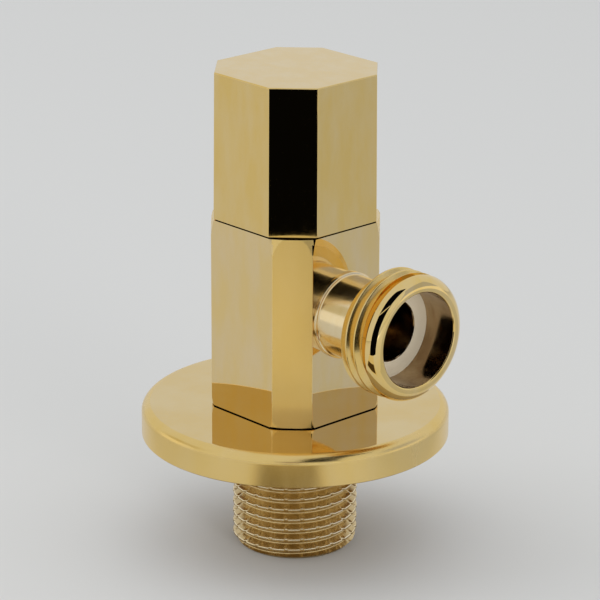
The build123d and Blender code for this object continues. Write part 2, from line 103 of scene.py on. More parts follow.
# %% [markdown]
# ## Small helpers for working as by hand
#
# In Blender an operator works on whatever is selected. So each step here starts with nothing
# selected, and picks its faces, edges or points by where they are. These few helpers do the
# picking and the switching between object mode and edit mode.

# %% Selecting helpers
def deselect():
    """Nothing selected, nothing active."""
    for thing in list(bpy.context.selected_objects):
        thing.select_set(False)
    bpy.context.view_layer.objects.active = None


def activate(thing):
    """Only this object is selected, and it is the active one."""
    deselect()
    thing.select_set(True)
    bpy.context.view_layer.objects.active = thing


def edit(thing, kind="VERT"):
    """Edit mode on one object, with nothing selected in it."""
    activate(thing)
    bpy.ops.object.mode_set(mode="EDIT")
    bpy.ops.mesh.select_mode(type=kind)
    bpy.ops.mesh.select_all(action="DESELECT")


def pick(thing, wanted, kind="verts"):
    """Select the points, edges or faces for which wanted(...) is true, and count them."""
    mesh = bmesh.from_edit_mesh(thing.data)
    count = 0
    for item in getattr(mesh, kind):
        if wanted(item):
            item.select_set(True)
            count += 1
    mesh.select_flush_mode()
    bmesh.update_edit_mesh(thing.data)
    return count


def leave():
    """Back to object mode."""
    bpy.ops.object.mode_set(mode="OBJECT")


print("selecting helpers are ready")

# %% [markdown]
# ## Cutting, joining and cleaning
#
# Metal parts are made by taking material away, and the Boolean modifier does that with solid
# shapes. It is applied at once, so that the mesh stays plain. A Boolean can leave doubled points,
# so a finished shape is cleaned, and its shading is smoothed except across its sharp edges.

# %% Combining and finishing helpers
def add_modifier(thing, kind, **settings):
    """Add a modifier, set it up and apply it."""
    activate(thing)
    modifier = thing.modifiers.new(kind.lower(), kind)
    for name, value in settings.items():
        setattr(modifier, name, value)
    bpy.ops.object.modifier_apply(modifier=modifier.name)


def combine(thing, tool, how):
    """Cut, join or intersect with a second closed shape, which is used up."""
    add_modifier(thing, "BOOLEAN", object=tool, operation=how, solver="EXACT")
    bpy.data.objects.remove(tool, do_unlink=True)


def clean(thing, gap=0.0005 * MM):
    """Merge doubled points and turn every face outwards."""
    edit(thing)
    bpy.ops.mesh.select_all(action="SELECT")
    bpy.ops.mesh.remove_doubles(threshold=gap)
    bpy.ops.mesh.normals_make_consistent(inside=False)
    leave()


def smooth(thing, angle):
    """Smooth shading, except across edges sharper than an angle in degrees."""
    activate(thing)
    bpy.ops.object.shade_smooth_by_angle(angle=radians(angle))


def triangles(thing):
    """How many triangles a mesh comes to."""
    return sum(len(face.vertices) - 2 for face in thing.data.polygons)


print("combining and finishing helpers are ready")

# %% [markdown]
# ## Turned shapes
#
# Most of a valve is made on a lathe, and spin is Blender's lathe. An outline is drawn point by
# point with extrude, in the XZ plane, and spun once round Z. The points are (radius, height)
# pairs in millimetres, and a round stretch is an arc of many short steps.

# %% Lathe
LATHE_STEPS = 192
OUTLET_Z = 43.05
SAME_PLACE = 1e-8


def arc(centre, radius, start, end, steps=8):
    """Points along an arc of the outline, from one angle to another in degrees."""
    turns = [radians(start + (end - start) * i / steps) for i in range(steps + 1)]
    return [(centre[0] + radius * cos(t), centre[1] + radius * sin(t)) for t in turns]


def draw(name, points, closed=True):
    """Draw an outline in the XZ plane by extruding one point from place to place."""
    deselect()
    bpy.ops.mesh.primitive_plane_add(size=MM, location=(0, 0, 0))
    thing = bpy.context.active_object
    thing.name = name
    bpy.ops.object.mode_set(mode="EDIT")
    bpy.ops.mesh.select_mode(type="VERT")
    bpy.ops.mesh.select_all(action="SELECT")
    bpy.ops.mesh.merge(type="CENTER")
    places = [Vector((x * MM, 0, z * MM)) for x, z in points]
    bpy.ops.transform.translate(value=places[0])
    for last, place in zip(places, places[1:]):
        bpy.ops.mesh.extrude_region_move(TRANSFORM_OT_translate={"value": place - last})
    if closed:
        bpy.ops.mesh.select_all(action="DESELECT")
        ends = (places[0], places[-1])
        pick(thing, lambda point: any((point.co - end).length < SAME_PLACE for end in ends))
        bpy.ops.mesh.edge_face_add()
    leave()
    return thing


def lathe(name, points, steps=LATHE_STEPS):
    """Turn a closed outline once round Z into a closed solid."""
    thing = draw(name, points)
    edit(thing)
    bpy.ops.mesh.select_all(action="SELECT")
    bpy.ops.mesh.spin(steps=steps, angle=2 * pi, center=(0, 0, 0), axis=(0, 0, 1))
    leave()
    clean(thing)
    return thing


def lay_on_outlet(thing):
    """Turn a shape made along Z so that it points along +X on the outlet's axis."""
    thing.data.transform(Matrix.Translation((0, 0, OUTLET_Z * MM)) @ Matrix.Rotation(pi / 2, 4, "Y"))
    thing.data.update()


print("the lathe turns in", LATHE_STEPS, "steps; the outlet's axis is", OUTLET_Z, "mm up")

# %% [markdown]
# ## The pipe thread
#
# Both ends of the valve carry the half-inch pipe thread: 14 turns to the inch, with flanks 55
# degrees apart and rounded tops and roots. One turn's worth of outline is drawn, and the Screw
# modifier winds it up the rod. Two bisects then cut the ends flat.

# %% Thread
THREAD_R = 10.4775
PITCH = 25.4 / 14
THREAD_ROUND = 0.1373 * PITCH
THREAD_DEPTH = 0.6403 * PITCH
FLANK = 62.5


def tooth():
    """One pitch of the thread's outline, from the middle of one root to the next."""
    root_r = THREAD_R - THREAD_DEPTH
    low = arc((root_r + THREAD_ROUND, 0), THREAD_ROUND, 180, 180 - FLANK, 3)
    top = arc((THREAD_R - THREAD_ROUND, PITCH / 2), THREAD_ROUND, -FLANK, FLANK, 6)
    high = arc((root_r + THREAD_ROUND, PITCH), THREAD_ROUND, 180 + FLANK, 180, 3)
    return low + top + high


def wind_thread(name, bottom, top, root_at, steps):
    """A threaded rod between two heights. The root's middle passes through +X at the height root_at."""
    start = root_at - PITCH
    while start > bottom - PITCH:
        start -= PITCH
    turns = int((top - start) / PITCH) + 2
    thing = draw(name, [(r, z + start) for r, z in tooth()], closed=False)
    add_modifier(thing, "SCREW", axis="Z", angle=2 * pi, screw_offset=PITCH * MM, iterations=turns,
                 steps=steps, render_steps=steps, use_merge_vertices=True, merge_threshold=1e-6)
    for height, clear in ((bottom, "inner"), (top, "outer")):
        edit(thing)
        bpy.ops.mesh.select_all(action="SELECT")
        bpy.ops.mesh.bisect(plane_co=(0, 0, height * MM), plane_no=(0, 0, 1), use_fill=True,
                            clear_inner=clear == "inner", clear_outer=clear == "outer")
        leave()
    clean(thing)
    return thing


print("thread pitch", round(PITCH, 3), "mm, depth", round(THREAD_DEPTH, 3), "mm")

# %% [markdown]
# ## Bars with their corners cut off
#
# Body and handle are both made from a square bar whose four upright edges are planed off flat. A
# cube is stretched to the bar's height, and a bevel with a single segment planes the edges. A
# second, tiny bevel with several segments breaks the sharp corners, because polishing always
# rounds them a little, and it is there that the metal catches the light.

# %% Corner-cut bar
UPRIGHT_LENGTH = 5
UPRIGHT_SLOPE = 20
END_REACH = 0.01


def upright(edge):
    """Whether an edge is long and runs up and down."""
    run = edge.verts[0].co - edge.verts[1].co
    return abs(run.z) > UPRIGHT_LENGTH * MM and abs(run.z) > UPRIGHT_SLOPE * max(abs(run.x), abs(run.y))


def cut_bar(name, half, leg, bottom, top, draft=1.0):
    """A square bar with its upright edges cut off; draft is how much narrower its top end is."""
    deselect()
    bpy.ops.mesh.primitive_cube_add(size=MM, location=(0, 0, 0))
    thing = bpy.context.active_object
    thing.name = name
    edit(thing)
    bpy.ops.mesh.select_all(action="SELECT")
    bpy.ops.transform.resize(value=(2 * half, 2 * half, top - bottom), center_override=(0, 0, 0))
    bpy.ops.transform.translate(value=(0, 0, (bottom + top) / 2 * MM))
    leave()
    edit(thing, "EDGE")
    pick(thing, upright, "edges")
    bpy.ops.mesh.bevel(offset_type="OFFSET", offset=leg * MM, segments=1)
    leave()
    if draft != 1.0:
        edit(thing)
        pick(thing, lambda point: point.co.z > (top - END_REACH) * MM)
        bpy.ops.transform.resize(value=(draft, draft, 1), center_override=(0, 0, top * MM))
        leave()
    return thing


def ease_edges(thing, wanted, width, segments):
    """Round the edges for which wanted(edge) is true."""
    edit(thing, "EDGE")
    count = pick(thing, wanted, "edges")
    bpy.ops.mesh.bevel(offset_type="OFFSET", offset=width * MM, segments=segments, clamp_overlap=False)
    leave()
    return count


def plug(name, radius, bottom, top):
    """A plain round cutter on the Z axis."""
    return lathe(name, [(0, bottom), (radius, bottom), (radius, top), (0, top)], steps=96)


def finish_metal(thing, angle=30):
    """Clean the mesh, smooth its shading, and keep its flat faces flat."""
    clean(thing)
    smooth(thing, angle)
    add_modifier(thing, "WEIGHTED_NORMAL", mode="FACE_AREA", weight=100, keep_sharp=True)


print("bars and round cutters can be made")

# %% [markdown]
# ## The valve body
#
# The body is a forged bar turned at its lower end into a threaded spigot. The bar is made first.
# Its ends were eased on a lathe, so it is intersected with a turned shape that is a touch
# narrower at both ends. Then the spigot is joined on, and the passages are drilled.

# %% Body bar
BODY_HALF = 12.05
BODY_LEG = 4.63
BODY_BOTTOM = 25.05
BODY_TOP = 57.3
CORNER_R = 14.16
BOTTOM_EASE = (13.95, 1.5)
TOP_EASE = (13.83, 4.2)
EASE_STEPS = 10
PLANED_EASE = 0.07

valve_body = cut_bar("body_bar", BODY_HALF, BODY_LEG, BODY_BOTTOM, BODY_TOP)
ease_edges(valve_body, upright, PLANED_EASE, 3)
ease_side = []
for step in range(EASE_STEPS + 1):
    share = step / EASE_STEPS
    height = BODY_TOP - TOP_EASE[1] * (1 - share)
    ease_side.append((CORNER_R - (CORNER_R - TOP_EASE[0]) * share ** 2, height))
eased = lathe("eased_ends", [
    (0, BODY_BOTTOM), (BOTTOM_EASE[0] - 0.1, BODY_BOTTOM), (BOTTOM_EASE[0], BODY_BOTTOM + 0.1),
    (CORNER_R, BODY_BOTTOM + BOTTOM_EASE[1]),
] + ease_side + [(TOP_EASE[0] - 0.1, BODY_TOP), (0, BODY_TOP)], steps=360)
combine(valve_body, eased, "INTERSECT")
print("bar", triangles(valve_body), "triangles")

# %% [markdown]
# ## The inlet thread
#
# Its crests carry small upright notches, which hold the sealing tape or hemp. They are made by
# picking the crest's points at even angles round the thread and scaling them in towards the axis.

# %% Inlet thread
INLET_CREST_AT = 7.35
FRONT_ANGLE = VIEW_TURN - pi / 2
NOTCH_GAP = 15
NOTCH_START = 9
NOTCH_HALF = 1.2
NOTCH_DEPTH = 0.3


def notched(point):
    """Whether a point is on a crest, at the angle of a notch."""
    turn = degrees(atan2(point.co.y, point.co.x)) - NOTCH_START
    off = abs((turn + NOTCH_GAP / 2) % NOTCH_GAP - NOTCH_GAP / 2)
    return off < NOTCH_HALF and point.co.xy.length > (THREAD_R - NOTCH_DEPTH) * MM


root_at = INLET_CREST_AT - PITCH / 2 - PITCH * FRONT_ANGLE / (2 * pi)
spigot = wind_thread("inlet_spigot", -0.5, 17.5, root_at, 360)
edit(spigot)
notch_points = pick(spigot, notched)
inward = 1 - NOTCH_DEPTH / THREAD_R
bpy.ops.transform.resize(value=(inward, inward, 1), center_override=(0, 0, 0))
leave()
sleeve = lathe("spigot_ends", [
    (6.0, 0), (9.3, 0), (9.4, 0.03), (10.68, 1.3), (10.68, 16.7), (10.4, 17.0), (6.0, 17.0),
], steps=360)
combine(spigot, sleeve, "INTERSECT")
print("thread", triangles(spigot), "triangles,", notch_points, "notch points")

# %% [markdown]
# ## The core and the passages
#
# A plain turned core carries the thread and fills the foot of the bar. Then the waterway, the
# cartridge's seat and the outlet's hole are bored out with turned cutters, each drawn as the
# outline of the metal that the drill takes away. A Boolean on such a fine thread sometimes leaves
# scraps of the last cutter hanging in the bore, so whatever is found there is deleted.

# %% Body core and passages
core = lathe("body_core", [
    (0, 0.1), (9.2, 0.1), (9.2, 18.5), (9.3, 18.62), (10.3, 18.95), (10.4, 19.1), (10.4, 26.1),
    (0, 26.1),
])
combine(valve_body, core, "UNION")
combine(valve_body, spigot, "UNION")
passages = lathe("passages", [
    (0, -1), (7.05, -1), (7.05, 0), (6.8, 0.25), (6.8, 8), (6.5, 8), (6.5, 9), (6, 9), (6, 33), (8.3, 33),
    (8.3, 48.5), (9, 48.5), (9, 55.9), (9.7, 55.9), (9.7, 58.3), (0, 58.3),
], steps=128)
combine(valve_body, passages, "DIFFERENCE")
port = lathe("port", [
    (0, 0), (5.2, 0), (5.2, 9.1), (5.9, 9.1), (5.9, 11.2), (6.8, 11.2), (6.8, 13.05), (0, 13.05),
], steps=128)
lay_on_outlet(port)
combine(valve_body, port, "DIFFERENCE")

CARTRIDGE_BORE = (8.2, 33.5)


def in_bore(face):
    """Whether a face hangs free inside the cartridge's bore, where there is no metal."""
    centre = face.calc_center_median() / MM
    return centre.xy.length < CARTRIDGE_BORE[0] and centre.z > CARTRIDGE_BORE[1]


edit(valve_body, "FACE")
scraps = pick(valve_body, in_bore, "faces")
bpy.ops.mesh.delete(type="FACE")
leave()
finish_metal(valve_body)
valve_body.name = "polished_body"
print("body", triangles(valve_body), "triangles,", scraps, "scraps deleted")

# %% [markdown]
# ## The outlet nipple
#
# The outlet is turned from one piece: a neck, a short threaded collar for the hose's nut, and a
# rounded nose with a socket for the hose's washer. It is turned about Z like everything else, and
# then laid down on the outlet's axis. The thread is wound so that a groove's middle passes the
# side of the outlet, a quarter of a turn from where the winding starts.

# %% Outlet nipple
NOSE_ROUND = 2.2
OUTLET_END = 29.0
SOCKET_R = 7.85
SOCKET_FLOOR = 22.7
OUTLET_GROOVE_AT = 22.9

nose = arc((THREAD_R - NOSE_ROUND, OUTLET_END - NOSE_ROUND), NOSE_ROUND, 13.1, 90, 14)
nipple = lathe("nipple_core", [
    (5.0, 9.1), (5.9, 9.1), (5.9, 12.05), (7.17, 12.05), (7.25, 12.13), (7.25, 12.57), (7.17, 12.67),
    (6.98, 12.74), (6.9, 12.85), (6.9, 20.6), (7.0, 20.87), (7.25, 21.15), (7.6, 21.3), (9.2, 21.3),
    (9.2, 26.98), (9.35, 27.1),
] + nose + [(8.14, OUTLET_END), (8.06, 28.97), (7.88, 28.79), (SOCKET_R, 28.7), (SOCKET_R, SOCKET_FLOOR),
            (5.15, SOCKET_FLOOR), (5.0, SOCKET_FLOOR - 0.15)], steps=256)
outlet_root_at = OUTLET_GROOVE_AT - PITCH / 4
collar = wind_thread("collar_thread", 20.5, 27.0, outlet_root_at, 240)
sleeve = lathe("collar_ends", [
    (8.6, 21.35), (9.9, 21.35), (10.0, 21.38), (10.6, 21.97), (10.6, 25.95), (10.45, 26.1), (8.6, 26.1),
], steps=240)
combine(collar, sleeve, "INTERSECT")
combine(nipple, collar, "UNION")
lay_on_outlet(nipple)
finish_metal(nipple)
nipple.name = "polished_outlet"
print("outlet", triangles(nipple), "triangles")

# %% [markdown]
# ## The escutcheon
#
# The wall flange is pressed from sheet: a flat top, a rounded rim and a straight skirt, open
# behind. One outline with the sheet's thickness, spun round once, gives the whole of it.

# %% Escutcheon
RIM_ROUND = 1.6
SHEET = 0.8
ESC_R = 25.7
ESC_TOP = 24.87
ESC_BOTTOM = 19.45
ESC_HOLE_R = 11.2
rim = (ESC_R - RIM_ROUND, ESC_TOP - RIM_ROUND)
outside = arc(rim, RIM_ROUND, 90, 0, 14)
inside = arc(rim, RIM_ROUND - SHEET, 0, 90, 8)
flange = lathe("flange", [(ESC_HOLE_R, ESC_TOP - 0.1), (ESC_HOLE_R + 0.1, ESC_TOP)] + outside + [
    (ESC_R, ESC_BOTTOM + 0.15), (ESC_R - 0.15, ESC_BOTTOM), (ESC_R - SHEET + 0.1, ESC_BOTTOM),
    (ESC_R - SHEET, ESC_BOTTOM + 0.1),
] + inside + [(ESC_HOLE_R, ESC_TOP - SHEET)], steps=300)
finish_metal(flange)
flange.name = "polished_flange"
print("flange", triangles(flange), "triangles")

# %% [markdown]
# ## The handle
#
# The handle is a die-cast cover, drafted so that it leaves its mould: its top is a little narrower
# than its foot. Inside, a hub with four webs hangs from its roof and takes the splined bush.

# %% Handle cover
HANDLE_BOTTOM = 57.55
HANDLE_TOP = 82.2
HANDLE_HALF = 12.17
HANDLE_LEG = 5.565
HANDLE_DRAFT = 11.99 / 12.17
HANDLE_WALL = 1.7
CEILING = 79.8
EDGE_ROUND = 0.2
FOOT_ROUND = 0.12


def at_top(edge):
    return all(point.co.z > (HANDLE_TOP - END_REACH) * MM for point in edge.verts)


def at_foot(edge):
    return all(point.co.z < (HANDLE_BOTTOM + END_REACH) * MM for point in edge.verts)


handle = cut_bar("handle_blank", HANDLE_HALF, HANDLE_LEG, HANDLE_BOTTOM, HANDLE_TOP, HANDLE_DRAFT)
ease_edges(handle, upright, EDGE_ROUND * tan(radians(22.5)), 4)
ease_edges(handle, at_top, EDGE_ROUND - 0.02, 5)
ease_edges(handle, at_foot, FOOT_ROUND, 2)
print("blank", triangles(handle), "triangles")

# %% [markdown]
# ## Inside the handle
#
# The hollow is a smaller bar of the same kind, with the hub and its four webs taken out of it. One
# web is wider, because the grub screw goes through it. What is left is then cut from the blank.

# %% Handle hollow
WEBS = (1.4, 1.4, 6.4, 1.4)
WEB_LENGTH = 4.0
WEB_HEIGHT = 15.2
WEB_MIDDLE = (9.4, 0, 73.2)
SCREW_Z = 70.5

hollow = cut_bar("hollow", HANDLE_HALF - HANDLE_WALL, HANDLE_LEG - HANDLE_WALL * (2 - sqrt(2)),
                 HANDLE_BOTTOM - 1, CEILING, HANDLE_DRAFT)
combine(hollow, plug("hub", 8.7, 65.6, CEILING + 1), "DIFFERENCE")
for quarter, width in enumerate(WEBS):
    deselect()
    bpy.ops.mesh.primitive_cube_add(size=MM, location=(0, 0, 0))
    web = bpy.context.active_object
    edit(web)
    bpy.ops.mesh.select_all(action="SELECT")
    bpy.ops.transform.resize(value=(WEB_LENGTH, width, WEB_HEIGHT), center_override=(0, 0, 0))
    bpy.ops.transform.translate(value=[place * MM for place in WEB_MIDDLE])
    leave()
    web.data.transform(Matrix.Rotation(quarter * pi / 2, 4, "Z"))
    combine(hollow, web, "DIFFERENCE")
combine(handle, hollow, "DIFFERENCE")
combine(handle, plug("bush_socket", 6.6, 64.6, 77.8), "DIFFERENCE")
screw_hole = plug("screw_hole", 1.98, -13.5, -4.5)
screw_hole.data.transform(Matrix.Translation((0, 0, SCREW_Z * MM)) @ Matrix.Rotation(pi / 2, 4, "Y"))
combine(handle, screw_hole, "DIFFERENCE")
finish_metal(handle)
handle.name = "polished_handle"
print("handle", triangles(handle), "triangles")

# %% [markdown]
# ## Surface effects shared by the finishes
#
# Each effect is a node group, built once and placed in every material that needs it. The groups
# take the object's own coordinates, so a pattern stays on its piece when the piece moves.

# %% Node helpers
def add_node(tree, kind, **settings):
    """A node in a tree, with its plain settings and the values of its unlinked inputs."""
    node = tree.nodes.new(kind)
    inputs = settings.pop("inputs", {})
    for name, value in settings.items():
        setattr(node, name, value)
    for name, value in inputs.items():
        node.inputs[name].default_value = value
    return node


def join(tree, source, output, target, socket):
    """Link one node's output to another's input, both by name."""
    tree.links.new(source.outputs[output], target.inputs[socket])


def new_group(name, numbers, outputs):
    """A shader node group with a Vector input, number inputs and number outputs."""
    group = bpy.data.node_groups.new(name, "ShaderNodeTree")
    group.interface.new_socket(name="Vector", in_out="INPUT", socket_type="NodeSocketVector")
    for label, value in numbers.items():
        socket = group.interface.new_socket(name=label, in_out="INPUT", socket_type="NodeSocketFloat")
        socket.default_value = value
    for label in outputs:
        group.interface.new_socket(name=label, in_out="OUTPUT", socket_type="NodeSocketFloat")
    return group, group.nodes.new("NodeGroupInput"), group.nodes.new("NodeGroupOutput")


# %% [markdown]
# Polishing by hand leaves a surface that is flat to the finger but still waves a little in its
# reflections, and a plated coat is cloudy in faint upright streaks. So one noise gives slow waves
# for the bump, and another, stretched upwards, gives the clouds for colour and roughness.

# %% Polish: soft waves and a faint upright cloudiness
polish, given, made = new_group("hand_polish", {"Wave Scale": 60.0, "Cloud Scale": 160.0}, ["Wave", "Cloud"])
waves = add_node(polish, "ShaderNodeTexNoise", inputs={"Detail": 1.0, "Roughness": 0.4})
stretch = add_node(polish, "ShaderNodeMapping", inputs={"Scale": (1.0, 1.0, 0.3)})
clouds = add_node(polish, "ShaderNodeTexNoise", inputs={"Detail": 4.0, "Roughness": 0.6})
spread = add_node(polish, "ShaderNodeMapRange", inputs={"From Min": 0.38, "From Max": 0.66})
join(polish, given, "Vector", waves, "Vector")
join(polish, given, "Wave Scale", waves, "Scale")
join(polish, given, "Vector", stretch, "Vector")
join(polish, stretch, "Vector", clouds, "Vector")
join(polish, given, "Cloud Scale", clouds, "Scale")
join(polish, clouds, "Fac", spread, "Value")
join(polish, waves, "Fac", made, "Wave")
join(polish, spread, "Result", made, "Cloud")

print("polish:", len(polish.nodes), "nodes")

# %% [markdown]
# A cutting tool leaves fine rings. The distance from the axis plus the height is one number that
# changes across both flat ends and round sides, so a noise along it makes rings on both.

# %% Turning marks: fine rings round the Z axis
turning, given, made = new_group("turning_marks", {"Ring Scale": 4000.0}, ["Rings"])
split = add_node(turning, "ShaderNodeSeparateXYZ")
flat = add_node(turning, "ShaderNodeCombineXYZ")
reach = add_node(turning, "ShaderNodeVectorMath", operation="LENGTH")
total = add_node(turning, "ShaderNodeMath", operation="ADD")
rings = add_node(turning, "ShaderNodeTexNoise", noise_dimensions="1D", inputs={"Detail": 2.0})
join(turning, given, "Vector", split, "Vector")
join(turning, split, "X", flat, "X")
join(turning, split, "Y", flat, "Y")
join(turning, flat, "Vector", reach, "Vector")
turning.links.new(reach.outputs["Value"], total.inputs[0])
turning.links.new(split.outputs["Z"], total.inputs[1])
join(turning, total, "Value", rings, "W")
join(turning, given, "Ring Scale", rings, "Scale")
join(turning, rings, "Fac", made, "Rings")

print("turning marks:", len(turning.nodes), "nodes")

# %% [markdown]
# Moulded rubber and plastic take the fine tooth of their mould, which an even noise is enough for.

# %% Grain: the fine tooth of moulded rubber and plastic
grain, given, made = new_group("moulded_grain", {"Grain Scale": 3000.0}, ["Grain"])
speck = add_node(grain, "ShaderNodeTexNoise", inputs={"Detail": 3.0, "Roughness": 0.6})
join(grain, given, "Vector", speck, "Vector")
join(grain, given, "Grain Scale", speck, "Scale")
join(grain, speck, "Fac", made, "Grain")
print("effects:", [group.name for group in bpy.data.node_groups])

# %% [markdown]
# ## The finishes
#
# A material starts as one Principled shader. A shared effect then drives its colour, its
# roughness and a Bump node; everything that is the same all over is set on the shader itself.

# %% Material maker
def finish_of(name, effect, output, colours, roughness, bump, **shader):
    """A material whose colour and roughness run between two values with one effect's output.

    bump is (height output, height in metres); effect is (group, its own number inputs).
    """
    material = bpy.data.materials.new(name)
    material.use_nodes = True
    tree = material.node_tree
    principled = tree.nodes["Principled BSDF"]
    for label, value in shader.items():
        principled.inputs[label.replace("_", " ")].default_value = value
    place = add_node(tree, "ShaderNodeTexCoord")
    marks = add_node(tree, "ShaderNodeGroup", node_tree=effect[0], inputs=effect[1])
    join(tree, place, "Object", marks, "Vector")
    colour = add_node(tree, "ShaderNodeMix", data_type="RGBA")
    colour.inputs[6].default_value = (*colours[0], 1)
    colour.inputs[7].default_value = (*colours[1], 1)
    tree.links.new(marks.outputs[output], colour.inputs[0])
    tree.links.new(colour.outputs[2], principled.inputs["Base Color"])
    gloss = add_node(tree, "ShaderNodeMapRange", inputs={"To Min": roughness[0], "To Max": roughness[1]})
    join(tree, marks, output, gloss, "Value")
    join(tree, gloss, "Result", principled, "Roughness")
    relief = add_node(tree, "ShaderNodeBump", inputs={"Strength": 1.0, "Distance": bump[1]})
    join(tree, marks, bump[0], relief, "Height")
    join(tree, relief, "Normal", principled, "Normal")
    return material


# %% [markdown]
# ## Gold
#
# All the gold is one plating, but polish reaches each face differently. Broad faces are mirrors
# under a thin clear coat. The neck and the threads are satin, the narrow faces and the rim more so.
# The neck is also painted paler than the plating, a painted reflection of its bright surroundings.
# In the inlet thread the grooves are painted dark, a painted shade in the hollows, and the crests
# are painted pale, a painted highlight along their tops. So each has its own values of the same polish.

# %% Gold finishes
GOLD = (0.86, 0.61, 0.20)
PALE_GOLD = (0.87, 0.65, 0.28)
CLOUDY_GOLD = (0.86, 0.67, 0.37)
COATED = {"Metallic": 1.0, "Coat_Weight": 0.5, "Coat_Roughness": 0.02}


def polished(name, wave_scale, cloud_scale, colours, roughness, wave_height, **shader):
    """A finish with the hand polish; shader is the thin clear coat unless it is given."""
    effect = (polish, {"Wave Scale": wave_scale, "Cloud Scale": cloud_scale})
    return finish_of(name, effect, "Cloud", colours, roughness, ("Wave", wave_height), **(shader or COATED))


gold_body = polished("gold_body", 55.0, 300.0, (PALE_GOLD, CLOUDY_GOLD), (0.02, 0.05), 0.0001)
gold_handle = polished("gold_handle", 45.0, 300.0, (GOLD, PALE_GOLD), (0.012, 0.03), 0.00008)
gold_flange = polished(
    "gold_flange", 35.0, 90.0, ((0.81, 0.575, 0.19), (0.82, 0.62, 0.27)), (0.02, 0.06), 0.0001)
gold_turned = polished("gold_turned", 120.0, 300.0, (GOLD, PALE_GOLD), (0.02, 0.04), 0.00003)
gold_thread = polished("gold_thread", 120.0, 300.0, (GOLD, PALE_GOLD), (0.20, 0.26), 0.00005)
# Painted reflection: the neck is coloured paler than the plating, standing in for the bright surroundings it
# mirrors.
gold_neck_painted_reflection = polished(
    "gold_neck_painted_reflection", 120.0, 300.0, ((0.88, 0.71, 0.42), (0.90, 0.76, 0.49)), (0.15, 0.21), 0.00005)
gold_narrow = polished(
    "gold_narrow", 55.0, 300.0, ((0.83, 0.59, 0.20), (0.85, 0.61, 0.22)), (0.24, 0.26), 0.00003, Metallic=0.6)
gold_rim = polished("gold_rim", 35.0, 90.0, (GOLD, PALE_GOLD), (0.20, 0.28), 0.0001, Metallic=1.0)
# Painted shade: the grooves of the inlet thread are coloured darker than the plating.
gold_painted_shade_groove = polished(
    "gold_painted_shade_groove", 200.0, 300.0, ((0.62, 0.46, 0.22), (0.76, 0.59, 0.31)), (0.20, 0.28), 0.00003,
    Metallic=1.0)
# Painted highlight: the crests of the inlet thread are coloured paler than the plating.
gold_painted_highlight_crest = polished(
    "gold_painted_highlight_crest", 200.0, 300.0, ((0.90, 0.75, 0.47), (0.93, 0.82, 0.60)), (0.16, 0.24), 0.00003, Metallic=1.0)
# Painted shade: the socket's bore is coloured dark brown, for the shade inside the hole.
painted_shade_bore = polished(
    "painted_shade_bore", 200.0, 400.0, ((0.30, 0.20, 0.11), (0.44, 0.33, 0.20)), (0.10, 0.20), 0.00005,
    Metallic=1.0)
print("gold finishes:", len(bpy.data.materials))

# %% [markdown]
# ## The inner works
#
# The cartridge is bare brass, the small springs and screws are stainless steel, the seals are
# black rubber, and two lapped discs of white ceramic shut the water off.

# %% Bare metals, rubber, plastic and ceramic
bare_brass = finish_of(
    "bare_brass", (turning, {"Ring Scale": 3500.0}), "Rings",
    ((0.62, 0.47, 0.25), (0.74, 0.60, 0.36)), (0.22, 0.36), ("Rings", 0.00002), Metallic=1.0)
stainless = finish_of(
    "stainless", (turning, {"Ring Scale": 5000.0}), "Rings",
    ((0.52, 0.52, 0.51), (0.64, 0.64, 0.62)), (0.18, 0.30), ("Rings", 0.00001), Metallic=1.0)
rubber = finish_of(
    "seal_rubber", (grain, {"Grain Scale": 2500.0}), "Grain",
    ((0.012, 0.012, 0.012), (0.03, 0.03, 0.03)), (0.45, 0.65), ("Grain", 0.00002))
acetal = finish_of(
    "white_acetal", (grain, {"Grain Scale": 1800.0}), "Grain",
    ((0.78, 0.78, 0.74), (0.86, 0.86, 0.83)), (0.35, 0.5), ("Grain", 0.00001))
alumina = finish_of(
    "lapped_alumina", (grain, {"Grain Scale": 4000.0}), "Grain",
    ((0.84, 0.84, 0.80), (0.92, 0.92, 0.89)), (0.08, 0.16), ("Grain", 0.000004), Coat_Weight=0.4)
print("materials:", len(bpy.data.materials))

# %% [markdown]
# ## The outlet's seat
#
# The hose's washer sits on a faced ring at the bottom of the socket. It is painted pale and only a
# little metallic: partly painted light, the lit copy of the socket's metal beside its painted-shade
# bore, with fine rings from the facing tool. The turning marks run round Z, so a Mapping node lays
# them on the outlet's own axis.

# %% Seat of the outlet: fine rings about the outlet's own axis
# Partly painted light: the faced ring is coloured pale cream and made only a little metallic, the lit copy of
# the socket's metal.
faced_seat_painted_light = finish_of(
    "faced_seat_painted_light", (turning, {"Ring Scale": 5200.0}), "Rings",
    ((0.86, 0.73, 0.52), (0.99, 0.88, 0.68)), (0.40, 0.50), ("Rings", 0.00003), Metallic=0.3)
seat_tree = faced_seat_painted_light.node_tree
coordinates = next(node for node in seat_tree.nodes if node.type == "TEX_COORD")
marks = next(node for node in seat_tree.nodes if node.type == "GROUP")
turn = add_node(seat_tree, "ShaderNodeMapping", inputs={
    "Location": (OUTLET_Z * MM, 0, 0), "Rotation": (0, -pi / 2, 0)})
join(seat_tree, coordinates, "Object", turn, "Vector")
join(seat_tree, turn, "Vector", marks, "Vector")
print("seat:", len(seat_tree.nodes), "nodes")

# %% [markdown]
# ## Dressing the pieces
#
# The CAD nodes that nobody sees until the valve is opened keep their shape and only change
# their finish. The four gold pieces stand in for their CAD nodes.

# %% Finishes on the outlet
TURNED, LIT_SEAT, SHADED_BORE, THREAD, PAINTED_NECK = range(5)
SOCKET_EASE = 0.35
HOLE_R = 5.16
COLLAR_END = OUTLET_END - 3
COLLAR_FOOT_R = 7.7

